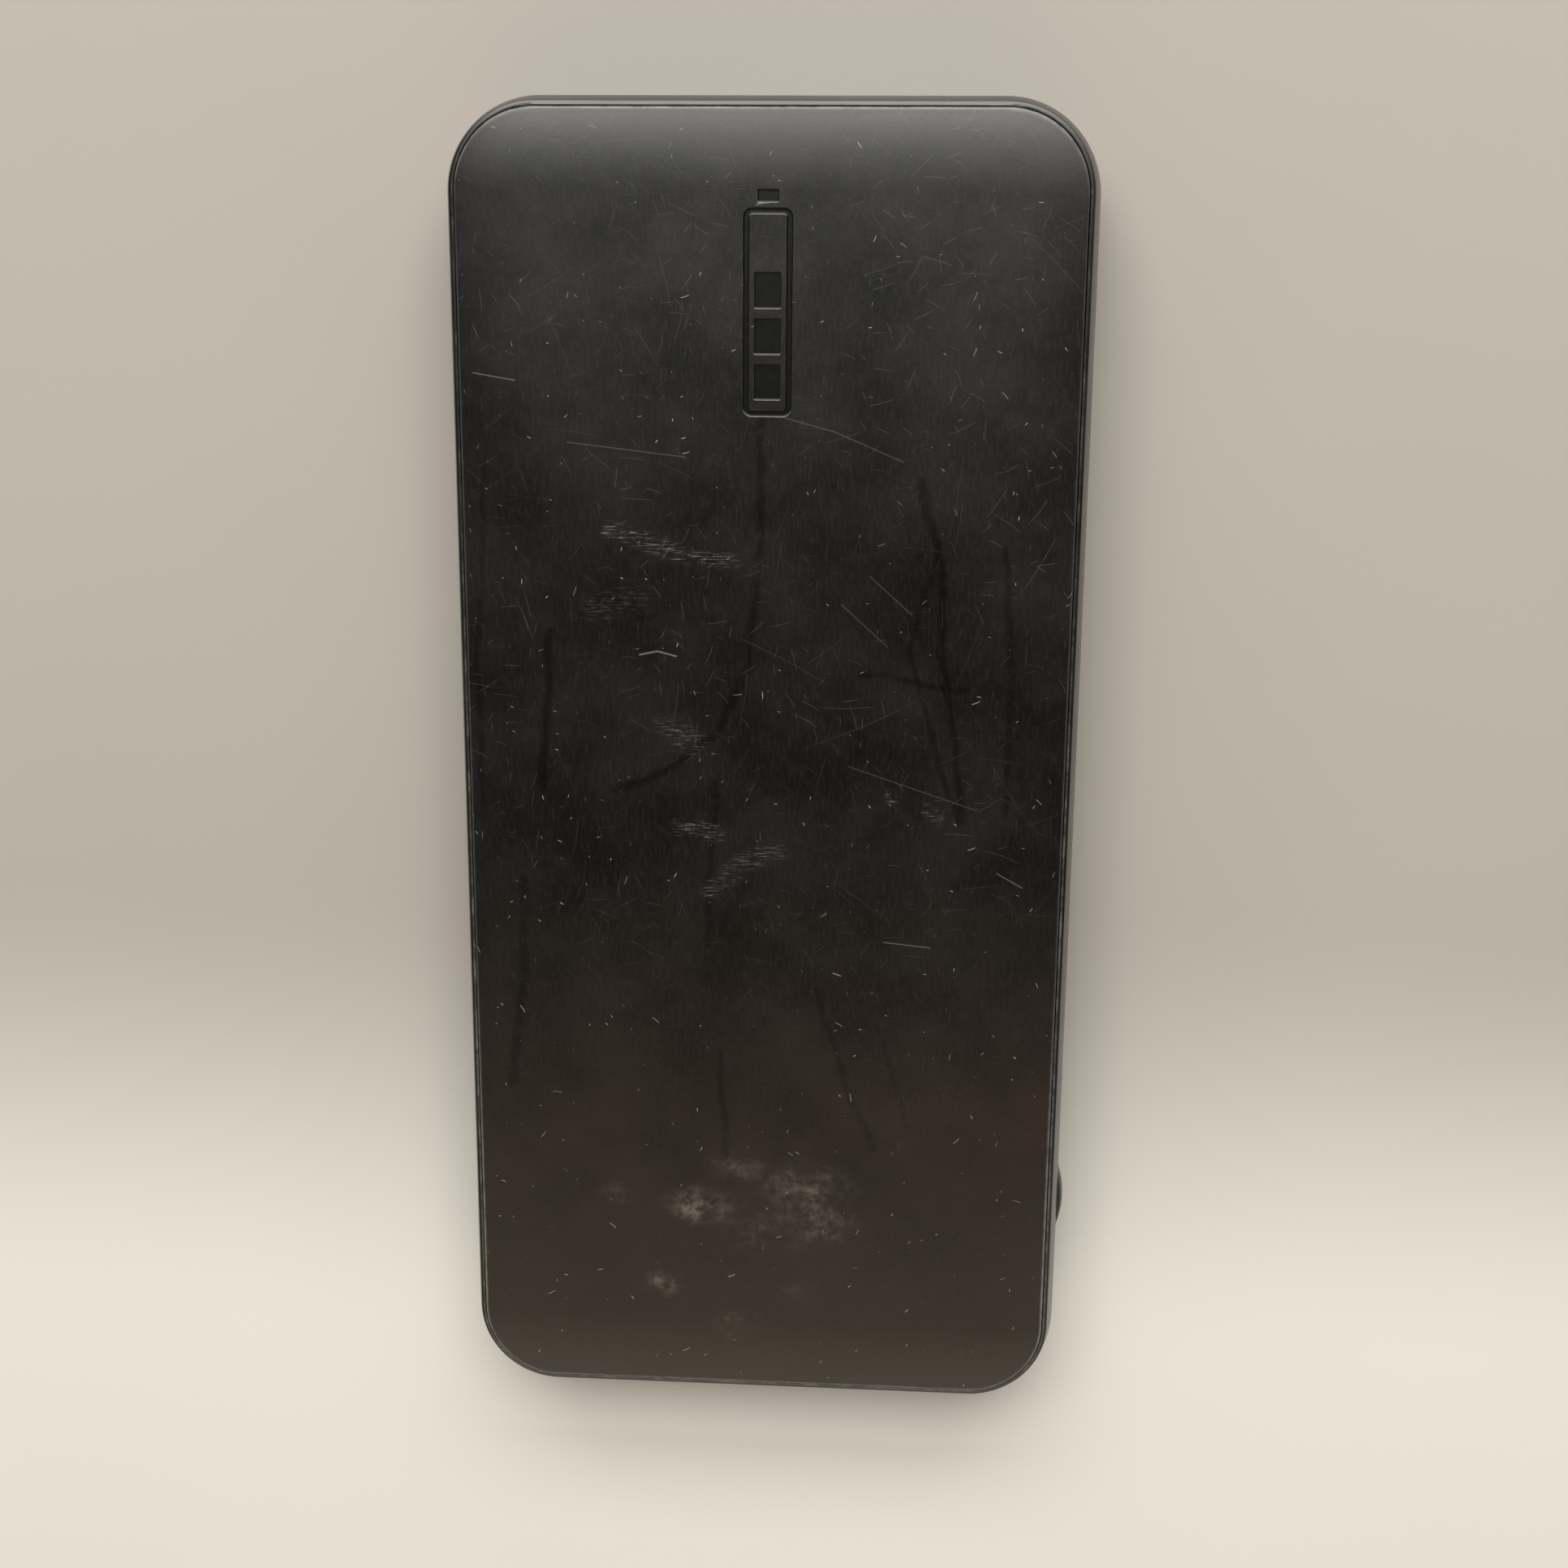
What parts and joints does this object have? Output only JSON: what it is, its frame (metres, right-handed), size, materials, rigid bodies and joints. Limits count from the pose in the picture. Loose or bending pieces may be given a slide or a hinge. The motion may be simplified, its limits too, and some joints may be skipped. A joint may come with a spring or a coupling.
{
  "type": "power bank",
  "caption": "Slim rectangular portable charger: barrel-sided case, crowned snap-in cover, sprung side button, charge windows and sockets in one end.",
  "frame": {"origin": "centre of the flat back face", "axes": "+X across the width towards the button side, +Y along the length away from the sockets, +Z from the back face out through the front cover"},
  "size_m": [0.0687, 0.1454, 0.015],
  "materials": {
    "case_plastic": "satin black, fine grain, worn",
    "cover_plastic": "satin black, fine grain, scratched",
    "button_plastic": "semi-gloss black",
    "window_plastic": "frosted clear",
    "cell_pouch": "satin foil",
    "tape_white": "matt",
    "foam_grey": "soft matt",
    "tab_nickel": "satin",
    "tape_amber": "glossy film",
    "lead_red": "smooth",
    "lead_black": "smooth",
    "board_green": "solder mask",
    "screw_steel": "zinc plated",
    "socket_steel": "bright nickel plated",
    "insulator_white": "moulded",
    "insulator_black": "moulded",
    "contact_gold": "gold flash",
    "switch_plastic": "moulded",
    "led_resin": "clear resin",
    "ferrite": "pressed powder",
    "chip_resin": "moulded",
    "can_aluminium": "satin",
    "ceramic_tan": "ceramic"
  },
  "bodies": {
    "case": {"rear_housing": "case_plastic", "front_cover": "cover_plastic", "light_pipe": "window_plastic", "battery_cell_lower": "cell_pouch", "battery_cell_upper": "cell_pouch", "cell_floor_tape": "tape_white", "cell_adhesive_tape": "tape_white", "foam_pad": "foam_grey", "positive_tab": "tab_nickel", "negative_tab": "tab_nickel", "tab_insulating_tape": "tape_amber", "battery_lead_red": "lead_red", "battery_lead_black": "lead_black", "main_board": "board_green", "board_screws": "screw_steel", "usb_a_shell_left": "socket_steel", "usb_a_insulator_left": "insulator_white", "usb_a_contacts_left": "contact_gold", "usb_a_shell_right": "socket_steel", "usb_a_insulator_right": "insulator_white", "usb_a_contacts_right": "contact_gold", "usb_c_shell": "socket_steel", "usb_c_insulator": "insulator_black", "usb_c_contacts": "contact_gold", "switch_body": "switch_plastic", "switch_frame": "socket_steel", "status_leds": "led_resin", "power_inductor": "ferrite", "controller_chip": "chip_resin", "power_transistors": "chip_resin", "polymer_capacitors": "can_aluminium", "ceramic_capacitors": "ceramic_tan", "chip_resistors": "chip_resin"},
    "button": {"power_button": "button_plastic"},
    "plunger": {"switch_plunger": "switch_plastic"}
  },
  "joints": [
    {"name": "button_press", "type": "slide", "parent": "case", "child": "button", "axis": [-1, 0, 0], "range_m": [0, 0.0003], "stiffness_N_per_m": 2000},
    {"name": "plunger_press", "type": "slide", "parent": "case", "child": "plunger", "axis": [-1, 0, 0], "range_m": [0, 0.0003]}
  ],
  "couplings": [
    {"joint": "plunger_press", "follows": "button_press", "ratio": 1}
  ]
}
